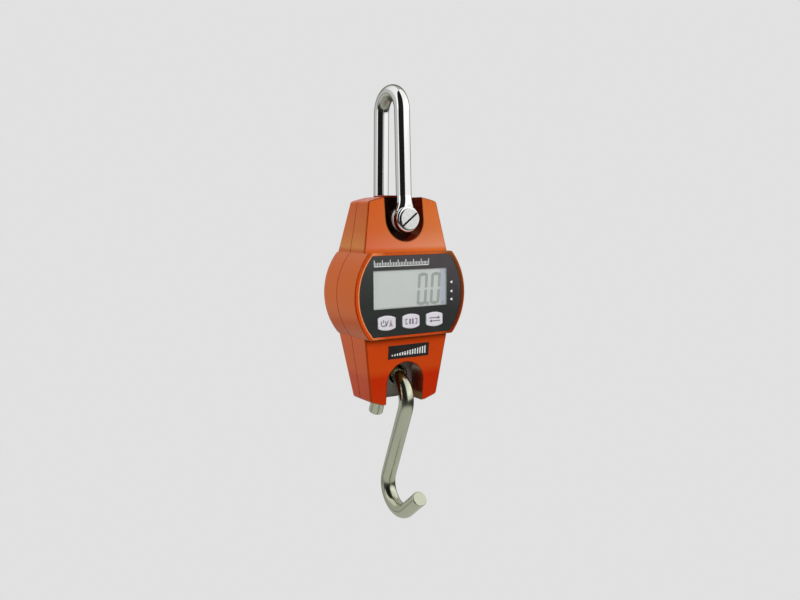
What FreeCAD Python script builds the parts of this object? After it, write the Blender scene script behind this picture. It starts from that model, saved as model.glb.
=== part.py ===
import FreeCAD, Part
import math
import os

# A hand-sized hanging scale, in millimetres.
# A round-bar shackle carries a force cell on a slotted pin. The cell runs down
# through a moulded two-shell housing with a round face, and an S-shaped hook
# hangs from the bore at its lower end.
# The origin is the inside top of the shackle, where the scale is hung up.
# +Z is up, the display faces -Y, and X is to the right seen from the front.

os.makedirs("parts", exist_ok=True)

# Shackle
bar_diameter = 8.4
crown_radius = 10.75         # of the bar's centreline over the top
leg_spread = 12.4            # from the middle to a leg's centreline beside the pin
crown_to_pin = 64.3          # from the origin down to the pin's axis
eye_radius = 7.1
eye_thickness = 7.4
eye_gap = 19.4               # clear width between the two eyes
eye_edge = 1.4               # rounding of the eye's rim
neck_height = 12.5           # along the leg, where the bar starts to flare into the eye
neck_waist_share = 0.7       # of the neck's height, where the bar is still nearly round
neck_waist_width = 1.08      # in bar widths
neck_waist_depth = 0.98
neck_foot_share = 0.35       # of the neck's height, inside the eye
neck_foot_width = 0.85       # in eye widths
neck_foot_depth = 0.96       # in eye thicknesses

# Pin
pin_radius = 4.0
pin_head_radius = 5.75
pin_head_thickness = 1.6
pin_head_edge = 0.4
pin_slot_width = 1.1
pin_slot_depth = 0.8
pin_slot_angle = 38.0
nut_across_flats = 11.0
nut_thickness = 3.2
nut_crown = 0.35             # how far the nut's corners reach past its flats
nut_chamfer = 0.5
thread_step = 1.0            # the threaded end is slimmer than the pin
thread_end = 0.6             # and stands out of the nut
spacer_radius = 6.4
running_clearance = 0.05     # radial, on every turning fit
seat_clearance = 0.1         # beside pieces that are laid in place

# Places measured down from the pin
pin_to_face = 40.4           # centre of the round face
pin_to_bore = 86.4           # bore that carries the hook

# Housing outline
face_rim = 4.96              # between the battery cover's corners and the edge of the face
face_half_height = 22.9      # flats above and below the round face
face_front = 20.0            # from the cell's mid plane forward
face_rear = 20.0             # from the cell's mid plane back
face_rear_edge = 6.0         # rounding of the back of the round part
face_front_edge = 0.7
face_corner = 1.5
top_half_width = 21.6
top_corner_height = 49.9     # above the face's centre
top_crown = 3.4              # rise of the top edge toward the middle
foot_half_width = 21.3
foot_corner_height = 58.2    # below the face's centre
foot_tip_half_width = 13.6
foot_tip_height = 60.8
front_at_face = 15.1         # depth of the flat flanks at the round part
front_at_top = 11.8
front_at_foot = 11.6
rear_at_face = 14.7
rear_at_end = 8.6
flank_corner = 2.0
flank_edge = 1.0
flank_overlap = 3.0          # how far a flank runs into the round part
wall = 2.2
upper_notch_half_width = 12.0
lower_notch_half_width = 11.7
lower_notch_height = 49.2    # centre of its round end, below the face's centre
lip_height = 1.2             # the front shell's lip inside the rear shell
lip_thickness = 0.95
lip_root = 0.5               # how far the lip runs down inside its own shell
seam_width = 0.5
seam_depth = 0.3

# Panel, display window and keys
panel_side_border = 2.7      # of housing left round the panel
panel_end_border = 1.5
panel_recess = 0.9
panel_thickness = 0.75
window_width = 48.1
window_height = 22.0
window_x = -0.45
window_z = 3.5               # above the face's centre
window_ledge = 1.0           # carries the window all round
window_corner = 1.4
key_width = 10.8
key_height = 8.0
key_side_height = 5.6        # straight part of a key's side
key_corner = 1.0
key_pitch = 15.15
key_middle_x = -0.95
key_z = -14.2                # below the face's centre
key_gap = 0.2
key_stand = 0.8              # how far a key stands out of the panel
key_flange = 0.8
key_flange_thickness = 0.8
key_edge = 0.5
key_plunger_radius = 1.6
key_travel = 0.5
key_play = 0.1               # between a plunger and its switch, at the end of the travel

# Display and board
glass_thickness = 1.8
strip_thickness = 1.2
board_depth = 4.3            # of the board's face behind the front wall
board_side_room = 0.8        # between the board and the wall
board_end_room = 2.4
board_thickness = 1.6
board_screw_edge = 3.1       # from the board's round side
board_screw_z = 9.0
board_boss_radius = 2.7
board_screw_radius = 1.0
board_screw_length = 4.4
board_screw_head_radius = 2.0
board_screw_head = 1.3
switch_size = 6.0
switch_body = 1.7
switch_stem = 0.5
switch_stem_radius = 1.7
chip_size = 12.0
chip_thickness = 1.6
chip_x = 15.0
chip_z = 5.0
plug_width = 8.0
plug_height = 5.0
plug_depth = 4.5
plug_x = -15.0
plug_z = -8.0
plug_wall = 0.8
plug_floor = 1.0

# Force cell
cell_thickness = 10.0
lug_half_width = 9.0
cell_half_width = 10.6
cell_top = 12.8              # above the pin
cell_foot = 12.1             # below the hook's bore
shoulder_clearance = 0.4     # between a shoulder and the notch's wall
cell_slot = 1.6
cell_slot_reach = 5.0        # past the middle
cell_slot_offset = 13.5      # above and below the middle
cell_window_radius = 5.4
cell_edge = 0.8
cell_opening_clearance = 0.3
gauge_length = 7.0
gauge_width = 4.0
gauge_thickness = 0.3
cell_screw_x = 6.4
cell_screw_drop = 4.6        # below the upper shoulder
cell_screw_radius = 1.4
cell_screw_length = 14.0
cell_screw_head_radius = 2.6
cell_screw_head = 1.6
cell_boss_radius = 2.6

# Screws that join the shells
joint_screw_room = 3.7       # between the force cell and the screws' bosses
joint_screw_top = 28.4       # above the face's centre
joint_screw_foot = 34.4      # below the face's centre
joint_screw_radius = 1.3
joint_screw_length = 12.0
joint_screw_head_radius = 2.6
joint_screw_head = 1.8
joint_screw_seat = 4.0       # depth of the head's seat behind the mid plane
front_boss_radius = 3.0
rear_boss_radius = 4.1
boss_wall = 1.2
screw_clearance = 0.3
pilot_clearance = 0.02
pilot_end = 0.4              # of empty hole past a screw's tip
joint_pilot_end = 1.0
driver_slot = 0.7
driver_reach = 1.2           # in head radii
driver_floor = 0.4           # of the head's height left under the slot
head_round = 0.4             # of the head's height

# Battery box
battery_radius = 5.2
battery_length = 43.3
battery_nub_radius = 1.9
battery_nub = 1.0
battery_pitch = 10.7
battery_count = 3
tray_wall = 1.2
tray_room = 0.3              # beside the outer cells
tray_cell_gap = 0.8          # between the tray and the force cell
tray_floor_room = 0.1        # under the cells
rib_depth = 0.45             # a rib reaches this far past the cells' fronts, in cell radii
rib_half_crest = 0.35
contact_thickness = 0.5
contact_height = 6.0
spring_length = 2.5
spring_radius = 3.4
spring_turns = 3
spring_taper = 0.22          # of the first ring's radius, from ring to ring
spring_groove = 0.9
spring_ridge = 0.35
cover_thickness = 1.5
cover_ledge = 1.4
cover_corner = 2.0
cover_grip_width = 14.0
cover_grip_height = 1.0
cover_grip_depth = 0.5
cover_grip_count = 3
cover_grip_margin = 3.0      # from the cover's upper edge
battery_edge = 0.5

# Hook
hook_crown_radius = 13.5     # of the bar's centreline through the bore
hook_tail_angle = 24.0       # of the tail from upright
hook_tail_length = 20.0
hook_shank_angle = 23.9
hook_shank_length = 44.4
hook_bend_radius = 13.0
hook_bend_turn = 152.6
hook_tip_length = 15.9
hook_edge = 0.7
bush_rim = 0.45              # of the ring left round its flared mouths
bush_flare_room = 0.15
bush_flare_steps = 8

# Heights and sizes that follow
pin_z = -crown_to_pin
face_z = pin_z - pin_to_face
bore_z = pin_z - pin_to_bore
lower_notch_z = face_z - lower_notch_height
tray_half_length = (battery_length + battery_nub + spring_length) / 2 + contact_thickness
tray_half_height = battery_pitch * (battery_count - 1) / 2 + battery_radius + tray_room
cover_half_length = tray_half_length + cover_ledge
cover_half_height = tray_half_height + cover_ledge
face_radius = face_rim + cover_corner + math.hypot(cover_half_length - cover_corner,
                                                   cover_half_height - cover_corner)
panel_radius = face_radius - panel_side_border
panel_half_height = face_half_height - panel_end_border
board_radius = face_radius - wall - board_side_room
board_half_height = face_half_height - wall - board_end_room
board_screw_x = math.sqrt(board_radius ** 2 - board_screw_z ** 2) - board_screw_edge
joint_screw_x = cell_half_width + joint_screw_room + rear_boss_radius
far = 200.0                  # past everything


# Helpers
def vec(x, y, z):
    return FreeCAD.Vector(x, y, z)


def box(x0, x1, y0, y1, z0, z1):
    return Part.makeBox(x1 - x0, y1 - y0, z1 - z0, vec(x0, y0, z0))


def rod(radius, y0, y1, x, z):
    return Part.makeCylinder(radius, y1 - y0, vec(x, y0, z), vec(0, 1, 0))


def segments(points):
    closed = points + points[:1]
    return [Part.makeLine(a, b) for a, b in zip(closed, closed[1:])]


def face_of(edges):
    return Part.Face(Part.Wire(Part.__sortEdges__(edges)))


def arc(a, b, c):
    return Part.Arc(a, b, c).toShape()


def edges_along(shape, direction):
    chosen = []
    for edge in shape.Edges:
        if len(edge.Vertexes) == 2 and isinstance(edge.Curve, Part.Line):
            way = edge.Vertexes[1].Point.sub(edge.Vertexes[0].Point)
            if abs(way.normalize().dot(direction)) > 0.999:
                chosen.append(edge)
    return chosen


def edges_at_y(shape, y):
    chosen = []
    for edge in shape.Edges:
        bounds = edge.BoundBox
        if abs(bounds.YMin - y) < 0.001 and abs(bounds.YMax - y) < 0.001:
            chosen.append(edge)
    return chosen


def rounded_plate(width, height, corner, y0, y1, x, z):
    plate = box(x - width / 2, x + width / 2, y0, y1, z - height / 2, z + height / 2)
    return plate.makeFillet(corner, edges_along(plate, vec(0, 1, 0)))


def bent_path(start_y, start_z, heading, steps):
    # straight and round stretches, each tangent to the last, in the plane X = 0
    y, z, edges = start_y, start_z, []
    for kind, size, turn in steps:
        if kind == "straight":
            end_y = y + size * math.cos(heading)
            end_z = z + size * math.sin(heading)
            edges.append(Part.makeLine(vec(0, y, z), vec(0, end_y, end_z)))
            y, z = end_y, end_z
        else:
            side = math.copysign(1, turn)
            centre_y = y - side * size * math.sin(heading)
            centre_z = z + side * size * math.cos(heading)
            places = []
            for share in (0.5, 1.0):
                angle = heading + share * turn - side * math.pi / 2
                places.append(vec(0, centre_y + size * math.cos(angle), centre_z + size * math.sin(angle)))
            edges.append(arc(vec(0, y, z), places[0], places[1]))
            heading += turn
            y, z = places[1].y, places[1].z
    return edges


def swept_bar(edges, radius):
    first = edges[0]
    start = first.Vertexes[0].Point
    way = first.tangentAt(first.FirstParameter)
    ring = Part.Wire(Part.makeCircle(radius, start, way))
    return Part.Wire(edges).makePipeShell([ring], True, False)


# Shackle
def leg_line():
    # a leg's lean, and its length from the pin's height to the round top
    drop = bar_diameter / 2 - crown_radius - pin_z
    reach = math.hypot(leg_spread, drop)
    length = math.sqrt(reach ** 2 - crown_radius ** 2)
    return math.atan2(leg_spread, drop) - math.atan2(crown_radius, length), length


def neck_top(side):
    # where a leg's plain bar ends, and the way that the leg runs up from there
    lean = leg_line()[0]
    way = vec(0, -side * math.sin(lean), math.cos(lean))
    return vec(0, side * leg_spread, pin_z) + way * neck_height, way


def shackle_path():
    # the legs stand a little apart and are tangent to the round top
    lean, length = leg_line()
    start = neck_top(-1)[0]
    leg = length - neck_height
    turn = -(math.pi - 2 * lean)
    steps = [("straight", leg, 0), ("round", crown_radius, turn), ("straight", leg, 0)]
    return bent_path(start.y, start.z, math.pi / 2 - lean, steps)


def eye_neck(side):
    # the bar flattens and widens where it runs out to the eye
    bar_radius = bar_diameter / 2
    bar_end, way = neck_top(side)
    eye_y = side * (eye_gap + eye_thickness) / 2
    top = Part.Circle(bar_end, way, bar_radius)
    sections = [Part.Wire(top.toShape())]
    for share, across, along in (
        (neck_waist_share, bar_radius * neck_waist_width, bar_radius * neck_waist_depth),
        (neck_foot_share, eye_radius * neck_foot_width, eye_thickness / 2 * neck_foot_depth),
    ):
        y = eye_y + (bar_end.y - eye_y) * (share - neck_foot_share) / (1 - neck_foot_share)
        z = pin_z + neck_height * share
        ellipse = Part.Ellipse(vec(across, y, z), vec(0, y + along, z), vec(0, y, z))
        sections.append(Part.Wire(ellipse.toShape()))
    return Part.makeLoft(sections, True, False)


def shackle():
    clear = eye_gap / 2
    parts = []
    for side in (-1, 1):
        y0 = min(side * clear, side * pin_end())
        eye = rod(eye_radius, y0, y0 + eye_thickness, 0, pin_z)
        parts.append(eye.makeFillet(eye_edge, edges_at_y(eye, y0) + edges_at_y(eye, y0 + eye_thickness)))
        parts.append(eye_neck(side))
    solid = swept_bar(shackle_path(), bar_diameter / 2).fuse(parts)
    # the bar is faced off beside the spacers, the pin's head and the nut
    spans = ((-far, -pin_end()), (-clear, clear), (pin_end(), far))
    cuts = [rod(eye_radius, y0, y1, 0, pin_z) for y0, y1 in spans]
    cuts.append(rod(pin_radius, -far, far, 0, pin_z))
    return solid.cut(cuts)


def pin_end():
    return eye_gap / 2 + eye_thickness


def shackle_pin():
    end = pin_end()
    shank = rod(pin_radius, -end, end, 0, pin_z)
    thread = rod(pin_radius - thread_step, end, end + nut_thickness + thread_end, 0, pin_z)
    front = -end - pin_head_thickness
    head = rod(pin_head_radius, front, -end, 0, pin_z)
    head = head.makeFillet(pin_head_edge, edges_at_y(head, front))
    slot = box(-far, far, -far, front + pin_slot_depth, -pin_slot_width / 2, pin_slot_width / 2)
    slot.rotate(vec(0, 0, 0), vec(0, 1, 0), -pin_slot_angle)
    slot.translate(vec(0, 0, pin_z))
    return shank.fuse([head.cut(slot), thread])


def pin_nut():
    corner = nut_across_flats / math.sqrt(3)
    points = []
    for index in range(6):
        angle = math.radians(60 * index)
        points.append(vec(corner * math.cos(angle), pin_end(), pin_z + corner * math.sin(angle)))
    nut = face_of(segments(points)).extrude(vec(0, nut_thickness, 0))
    rear = pin_end() + nut_thickness
    crowned = rod(nut_across_flats / 2 + nut_crown, pin_end(), rear, 0, pin_z)
    crowned = crowned.makeChamfer(nut_chamfer, edges_at_y(crowned, rear))
    return nut.common(crowned).cut(rod(pin_radius - thread_step, -far, far, 0, pin_z))


def pin_spacer(side):
    inner = cell_thickness / 2 + running_clearance
    outer = eye_gap / 2
    y0 = min(side * inner, side * outer)
    sleeve = rod(spacer_radius, y0, y0 + outer - inner, 0, pin_z)
    return sleeve.cut(rod(pin_radius, -far, far, 0, pin_z))


# Housing
def round_form(inset):
    radius = face_radius - inset
    half = face_half_height - inset
    front, rear = -face_front + inset, face_rear - inset
    disc = rod(radius, front, rear, 0, face_z)
    form = disc.common(box(-far, far, -far, far, face_z - half, face_z + half))
    form = form.makeFillet(face_corner, edges_along(form, vec(0, 1, 0)))
    form = form.makeFillet(face_rear_edge - inset, edges_at_y(form, rear))
    if inset < face_front_edge:
        form = form.makeFillet(face_front_edge, edges_at_y(form, front))
    return form


def along_flank(at_face, at_end, end_height, height):
    # a depth or width of the flank at a height, from its values at the round part and at the end
    return at_face + (at_end - at_face) * (height - face_half_height) / (end_height - face_half_height)


def facing_edges(shape, base_z):
    # the rims of the front and back faces, apart from the end inside the round part
    chosen = []
    for edge in shape.Edges:
        facing = 0
        for face in shape.ancestorsOfType(edge, Part.Face):
            u0, u1, v0, v1 = face.ParameterRange
            if abs(face.normalAt((u0 + u1) / 2, (v0 + v1) / 2).y) > 0.9:
                facing += 1
        bounds = edge.BoundBox
        if facing == 1 and max(abs(bounds.ZMin - base_z), abs(bounds.ZMax - base_z)) > 0.01:
            chosen.append(edge)
    return chosen


def flank_block(inset, way, half_width, height, end_edges, front_end, rear_end):
    # one flat flank, narrower and thinner toward its end, with rounded rims
    join = math.sqrt(face_radius ** 2 - face_half_height ** 2)
    base = face_half_height - flank_overlap
    base_x = along_flank(join, half_width, height, base) - inset
    end_x = half_width - inset
    base_z, end_z = face_z + way * base, face_z + way * (height - inset)
    edges = end_edges(end_x, end_z, inset)
    edges.append(Part.makeLine(vec(-base_x, 0, base_z), vec(-end_x, 0, end_z)))
    edges.append(Part.makeLine(vec(base_x, 0, base_z), vec(end_x, 0, end_z)))
    edges.append(Part.makeLine(vec(-base_x, 0, base_z), vec(base_x, 0, base_z)))
    plan = face_of(edges)
    plan.translate(vec(0, -far / 2, 0))
    form = plan.extrude(vec(0, far, 0))
    corners = [edge for edge in edges_along(form, vec(0, 1, 0)) if abs(edge.BoundBox.ZMin - base_z) > 0.01]
    form = form.makeFillet(flank_corner, corners)
    beyond = height + 3 * top_crown
    side = face_of(segments([
        vec(-far / 2, inset - along_flank(front_at_face, front_end, height, base), base_z),
        vec(-far / 2, inset - along_flank(front_at_face, front_end, height, beyond), face_z + way * beyond),
        vec(-far / 2, along_flank(rear_at_face, rear_end, height, beyond) - inset, face_z + way * beyond),
        vec(-far / 2, along_flank(rear_at_face, rear_end, height, base) - inset, base_z),
    ]))
    form = form.common(side.extrude(vec(far, 0, 0)))
    return form.makeFillet(flank_edge, facing_edges(form, base_z))


def top_edges(x, z, inset):
    return [arc(vec(-x, 0, z), vec(0, 0, z + top_crown), vec(x, 0, z))]


def foot_edges(x, z, inset):
    tip_x, tip_z = foot_tip_half_width, face_z - foot_tip_height + inset
    return [
        Part.makeLine(vec(-x, 0, z), vec(-tip_x, 0, tip_z)),
        Part.makeLine(vec(-tip_x, 0, tip_z), vec(tip_x, 0, tip_z)),
        Part.makeLine(vec(tip_x, 0, tip_z), vec(x, 0, z)),
    ]


def flank_forms(inset):
    return [
        flank_block(inset, 1, top_half_width, top_corner_height, top_edges, front_at_top, rear_at_end),
        flank_block(inset, -1, foot_half_width, foot_corner_height, foot_edges, front_at_foot, rear_at_end),
    ]


def notch(half_width, z, way, grow):
    width = half_width + grow
    end = rod(width, -far, far, 0, z)
    if way > 0:
        return end.fuse(box(-width, width, -far, far, z, z + far))
    return end.fuse(box(-width, width, -far, far, z - far, z))


def upper_notch(grow):
    return notch(upper_notch_half_width, pin_z, 1, grow)


def lower_notch(grow):
    return notch(lower_notch_half_width, lower_notch_z, -1, grow)


def housing_form(inset):
    form = round_form(inset).fuse(flank_forms(inset))
    return form.cut([upper_notch(inset), lower_notch(inset)])


def cell_opening():
    room = cell_opening_clearance
    x, y = lug_half_width + room, cell_thickness / 2 + room
    top = upper_notch_half_width + wall
    foot = lower_notch_half_width + wall
    return [
        box(-x, x, -y, y, pin_z - top - wall, pin_z),
        box(-x, x, -y, y, lower_notch_z, lower_notch_z + foot + wall),
    ]


def joint_screw_places():
    top, foot = face_z + joint_screw_top, face_z - joint_screw_foot
    return [(-joint_screw_x, top), (joint_screw_x, top), (-joint_screw_x, foot), (joint_screw_x, foot)]


def board_screw_places():
    high, low = face_z + board_screw_z, face_z - board_screw_z
    return [(-board_screw_x, high), (board_screw_x, high), (-board_screw_x, low), (board_screw_x, low)]


def shoulder_top():
    return pin_z - upper_notch_half_width - wall - shoulder_clearance


def shoulder_foot():
    return lower_notch_z + lower_notch_half_width + wall + shoulder_clearance


def cell_screw_places():
    z = shoulder_top() - cell_screw_drop
    return [(-cell_screw_x, z), (cell_screw_x, z)]


def front_inner():
    # inside of the wall behind the panel
    return -face_front + panel_recess + wall


def board_front():
    return front_inner() + board_depth


def board_rear():
    return board_front() + board_thickness


def panel_plate(radius, half_height, y0, y1):
    disc = rod(radius, y0, y1, 0, face_z)
    return disc.common(box(-far, far, -far, far, face_z - half_height, face_z + half_height))


def window_plate(grow, y0, y1):
    width, height = window_width + 2 * grow, window_height + 2 * grow
    return rounded_plate(width, height, window_corner + grow, y0, y1, window_x, face_z + window_z)


def key_places():
    return [key_middle_x + (index - 1) * key_pitch for index in range(3)]


def key_block(grow, y0, y1, x):
    # upright sides with bowed upper and lower edges
    half_x, side_z, top_z = key_width / 2 + grow, key_side_height / 2 + grow, key_height / 2 + grow
    z = face_z + key_z
    edges = [
        Part.makeLine(vec(x - half_x, y0, z - side_z), vec(x - half_x, y0, z + side_z)),
        arc(vec(x - half_x, y0, z + side_z), vec(x, y0, z + top_z), vec(x + half_x, y0, z + side_z)),
        Part.makeLine(vec(x + half_x, y0, z + side_z), vec(x + half_x, y0, z - side_z)),
        arc(vec(x + half_x, y0, z - side_z), vec(x, y0, z - top_z), vec(x - half_x, y0, z - side_z)),
    ]
    block = face_of(edges).extrude(vec(0, y1 - y0, 0))
    return block.makeFillet(key_corner, edges_along(block, vec(0, 1, 0)))


def front_housing(outer, inner, half):
    form = outer.cut(inner).common(half)
    thick_front = panel_plate(panel_radius + wall, face_half_height - wall / 2, panel_seat(), front_inner())
    form = form.fuse(thick_front.common(outer))
    lip = housing_form(wall - lip_thickness).cut(inner)
    form = form.fuse(lip.common(box(-far, far, -lip_root, lip_height, -far * 2, far)))
    bosses = []
    for x, z in joint_screw_places():
        bosses.append(rod(front_boss_radius, -far, 0, x, z).common(outer))
    for x, z in cell_screw_places():
        bosses.append(rod(cell_boss_radius, -far, -cell_thickness / 2, x, z).common(outer))
    for x, z in board_screw_places():
        bosses.append(rod(board_boss_radius, panel_seat(), board_front(), x, z))
    form = form.fuse(bosses)
    cuts = cell_opening()
    cuts.append(panel_plate(panel_radius + seat_clearance, panel_half_height + seat_clearance,
                            -far, panel_seat()))
    cuts.append(window_plate(-window_ledge, -far, 0))
    for x in key_places():
        cuts.append(key_block(key_gap, -2 * face_front, 0, x))
    for x, z in joint_screw_places():
        depth = joint_screw_seat - joint_screw_length - joint_pilot_end
        cuts.append(rod(joint_screw_radius + pilot_clearance, depth, far, x, z))
    for x, z in cell_screw_places():
        depth = cell_thickness / 2 - cell_screw_length - pilot_end
        cuts.append(rod(cell_screw_radius + pilot_clearance, depth, 0, x, z))
    for x, z in board_screw_places():
        depth = board_rear() - board_screw_length - pilot_end
        cuts.append(rod(board_screw_radius + pilot_clearance, depth, 0, x, z))
    return form.cut(cuts)


def tray_opening(grow, y0, y1):
    width, height = 2 * (tray_half_length + grow), 2 * (tray_half_height + grow)
    return rounded_plate(width, height, cover_corner, y0, y1, 0, face_z)


def rear_housing(outer, inner, half):
    form = outer.cut(inner).common(half)
    bosses = []
    for x, z in joint_screw_places():
        bosses.append(rod(rear_boss_radius, 0, far, x, z).common(outer))
    form = form.fuse(bosses)
    cuts = cell_opening()
    groove = housing_form(wall - lip_thickness - seat_clearance)
    groove = groove.common(box(-far, far, -wall, lip_height + seat_clearance, -far * 2, far))
    kept = [rod(rear_boss_radius - boss_wall, -far, far, x, z) for x, z in joint_screw_places()]
    cuts.append(groove.cut(kept))
    seam = outer.cut(housing_form(seam_depth))
    cuts.append(seam.common(box(-far, far, -wall, seam_width, -far * 2, far)))
    for x, z in joint_screw_places():
        cuts.append(rod(joint_screw_radius + screw_clearance, -wall, far, x, z))
        cuts.append(rod(joint_screw_head_radius + screw_clearance, joint_screw_seat, far, x, z))
    cuts.append(tray_opening(0, 0, far))
    cuts.append(tray_opening(cover_ledge + seat_clearance, face_rear - cover_thickness, far))
    return form.cut(cuts)


# Panel, window and keys
def panel_seat():
    return -face_front + panel_recess


def front_panel():
    seat = panel_seat()
    plate = panel_plate(panel_radius, panel_half_height, seat - panel_thickness, seat)
    cuts = [window_plate(seat_clearance, -far, 0)]
    cuts += [key_block(key_gap, -2 * face_front, 0, x) for x in key_places()]
    return plate.cut(cuts)


def display_window():
    seat = panel_seat()
    return window_plate(0, seat - panel_thickness, seat)


def key(x):
    top = panel_seat() - panel_thickness - key_stand
    flange_front = front_inner() + running_clearance
    flange_rear = flange_front + key_flange_thickness
    cap = key_block(0, top, flange_front, x)
    cap = cap.makeFillet(key_edge, edges_at_y(cap, top))
    flange = key_block(key_flange, flange_front, flange_rear, x)
    plunger = rod(key_plunger_radius, flange_rear, stem_front() - key_play - key_travel, x, face_z + key_z)
    return cap.fuse([flange, plunger])


# Display and board
def glass_front():
    return panel_seat() + seat_clearance


def glass_rear():
    return glass_front() + glass_thickness


def glass_size():
    # the glass fills the opening behind the window
    less = 2 * (window_ledge + seat_clearance)
    return window_width - less, window_height - less


def lcd_glass():
    return window_plate(-window_ledge - seat_clearance, glass_front(), glass_rear())


def reflector_half_height():
    return glass_size()[1] / 2 - strip_thickness - seat_clearance


def behind_glass(z0, z1):
    half = glass_size()[0] / 2
    z = face_z + window_z
    return box(window_x - half, window_x + half, glass_rear(), board_front(), z + z0, z + z1)


def lcd_reflector():
    return behind_glass(-reflector_half_height(), reflector_half_height())


def lcd_connector(side):
    # rubber strip between the glass and the board
    inner = reflector_half_height() + seat_clearance
    z0, z1 = sorted((side * inner, side * (inner + strip_thickness)))
    return behind_glass(z0, z1)


def main_board():
    board = panel_plate(board_radius, board_half_height, board_front(), board_rear())
    holes = [rod(board_screw_radius + seat_clearance, -far, far, x, z) for x, z in board_screw_places()]
    return board.cut(holes)


def stem_front():
    return board_front() - switch_body - switch_stem


def key_switch(x):
    z = face_z + key_z
    half = switch_size / 2
    body = box(x - half, x + half, board_front() - switch_body, board_front(), z - half, z + half)
    return body.fuse(rod(switch_stem_radius, stem_front(), board_front() - switch_body, x, z))


def controller_chip():
    half = chip_size / 2
    y, z = board_rear(), face_z + chip_z
    return box(chip_x - half, chip_x + half, y, y + chip_thickness, z - half, z + half)


def cell_plug():
    x, z = plug_x, face_z + plug_z
    half_x, half_z = plug_width / 2, plug_height / 2
    body = box(x - half_x, x + half_x, board_rear(), board_rear() + plug_depth, z - half_z, z + half_z)
    half_x, half_z = half_x - plug_wall, half_z - plug_wall
    return body.cut(box(x - half_x, x + half_x, board_rear() + plug_floor, far, z - half_z, z + half_z))


def screw(x, z, head_y, head_radius, head_height, shank_radius, length):
    # driven in from the back
    head_end = head_y + head_height
    head = rod(head_radius, head_y, head_end, x, z)
    head = head.makeFillet(head_height * head_round, edges_at_y(head, head_end))
    shank = rod(shank_radius, head_y - length, head_y, x, z)
    cross = []
    reach = head_radius * driver_reach
    for wide, high in ((reach, driver_slot), (driver_slot, reach)):
        cross.append(box(x - wide / 2, x + wide / 2, head_y + head_height * driver_floor, head_end,
                         z - high / 2, z + high / 2))
    return head.fuse(shank).cut(cross)


# Force cell
def cell_middle():
    return (shoulder_top() + shoulder_foot()) / 2


def load_cell():
    y0, y1 = -cell_thickness / 2, cell_thickness / 2
    top, foot = pin_z + cell_top, bore_z - cell_foot
    bar = box(-lug_half_width, lug_half_width, y0, y1, foot, top)
    bar = bar.makeFillet(cell_edge, edges_along(bar, vec(0, 1, 0)))
    middle = box(-cell_half_width, cell_half_width, y0, y1, shoulder_foot(), shoulder_top())
    middle = middle.makeFillet(cell_edge, edges_along(middle, vec(0, 1, 0)))
    z = cell_middle()
    cuts = [
        rod(pin_radius + running_clearance, -far, far, 0, pin_z),
        rod(bush_radius() + running_clearance, -far, far, 0, bore_z),
        rod(cell_window_radius, -far, far, 0, z),
    ]
    # two slots from opposite sides give the bar its S-shaped spring
    for side in (-1, 1):
        slot_z = z + side * cell_slot_offset
        end_x = -side * cell_slot_reach
        x0, x1 = sorted((end_x, side * far))
        cuts.append(box(x0, x1, -far, far, slot_z - cell_slot / 2, slot_z + cell_slot / 2))
        cuts.append(rod(cell_slot, -far, far, end_x, slot_z))
    for x, screw_z in cell_screw_places():
        cuts.append(rod(cell_screw_radius + screw_clearance, -far, far, x, screw_z))
    return bar.fuse(middle).cut(cuts)


def strain_gauge(side):
    x0 = min(side * cell_half_width, side * (cell_half_width + gauge_thickness))
    z = cell_middle()
    return box(x0, x0 + gauge_thickness, -gauge_width / 2, gauge_width / 2,
               z - gauge_length / 2, z + gauge_length / 2)


# Battery box
def tray_front():
    return cell_thickness / 2 + tray_cell_gap


def battery_rows():
    first = -(battery_count - 1) / 2
    return [face_z + (first + index) * battery_pitch for index in range(battery_count)]


def battery_axis_y():
    return tray_front() + tray_wall + tray_floor_room + battery_radius


def battery_tray():
    rear = face_rear - wall
    outer = tray_opening(tray_wall, tray_front(), rear)
    room = tray_opening(0, tray_front() + tray_wall, far)
    tray = outer.cut(room)
    ribs = []
    for low, high in zip(battery_rows(), battery_rows()[1:]):
        z = (low + high) / 2
        floor = tray_front() + tray_wall / 2
        crest = battery_axis_y() - battery_radius * (1 - rib_depth)
        # a rib fills the valley between two cells
        points = [
            vec(0, floor, z - battery_pitch / 4), vec(0, floor, z + battery_pitch / 4),
            vec(0, crest, z + rib_half_crest), vec(0, crest, z - rib_half_crest),
        ]
        profile = face_of(segments(points))
        profile.translate(vec(-tray_half_length / 2, 0, 0))
        ribs.append(profile.extrude(vec(tray_half_length, 0, 0)))
    cells = [battery_hole(z) for z in battery_rows()]
    tray = tray.fuse(ribs).cut(cells)
    return tray.common(housing_form(wall))


def battery_hole(z):
    radius = battery_radius + seat_clearance / 2
    start = vec(-tray_half_length, battery_axis_y(), z)
    return Part.makeCylinder(radius, 2 * tray_half_length, start, vec(1, 0, 0))


def battery_way(index):
    return 1 if index % 2 == 0 else -1


def battery_cell(index, z):
    way = battery_way(index)
    nub_end = way * (tray_half_length - contact_thickness)
    body_end = nub_end - way * battery_nub
    flat_end = body_end - way * battery_length
    y = battery_axis_y()
    body = Part.makeCylinder(battery_radius, battery_length, vec(flat_end, y, z), vec(way, 0, 0))
    nub = Part.makeCylinder(battery_nub_radius, battery_nub, vec(body_end, y, z), vec(way, 0, 0))
    rims = [edge for edge in body.Edges if isinstance(edge.Curve, Part.Circle)]
    return body.makeFillet(battery_edge, rims).fuse(nub)


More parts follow.
